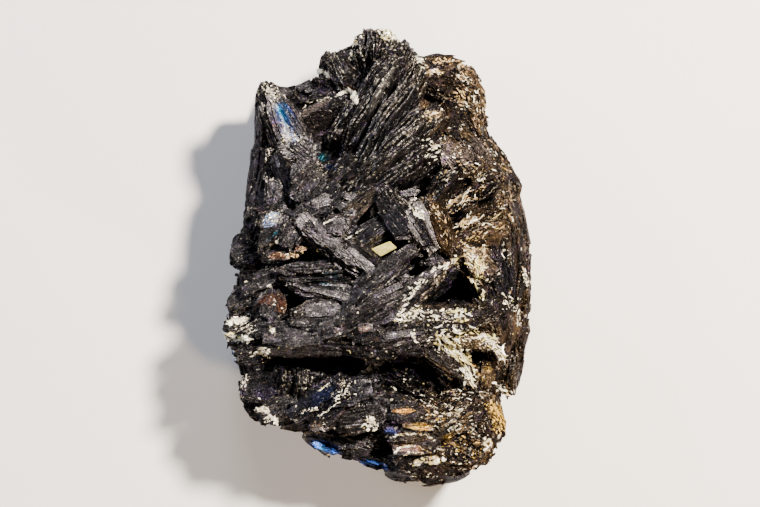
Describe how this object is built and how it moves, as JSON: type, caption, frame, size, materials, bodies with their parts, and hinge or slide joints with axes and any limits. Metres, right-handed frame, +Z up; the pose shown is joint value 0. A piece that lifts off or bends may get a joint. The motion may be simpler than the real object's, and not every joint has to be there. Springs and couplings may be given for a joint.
{
  "type": "covellite specimen",
  "caption": "Blocky hand specimen of platy covellite: a dark mass of intergrown bladed crystals with pits, ledges and a rounded lobe, lying on a flat broken back, for display.",
  "frame": {"origin": "middle of the footprint, on the surface the specimen lies on", "axes": "+Z up, away from the flat broken back; +Y along the specimen's length, towards its domed end with the long blades; +X towards its bronze side"},
  "size_m": [0.0624, 0.09, 0.0423],
  "materials": {
    "covellite": "dark submetallic plates, indigo-black to bronze, with brassy cream pyrite grains and blue tarnish"
  },
  "bodies": {
    "root": {"covellite_mass": "covellite"}
  },
  "joints": []
}
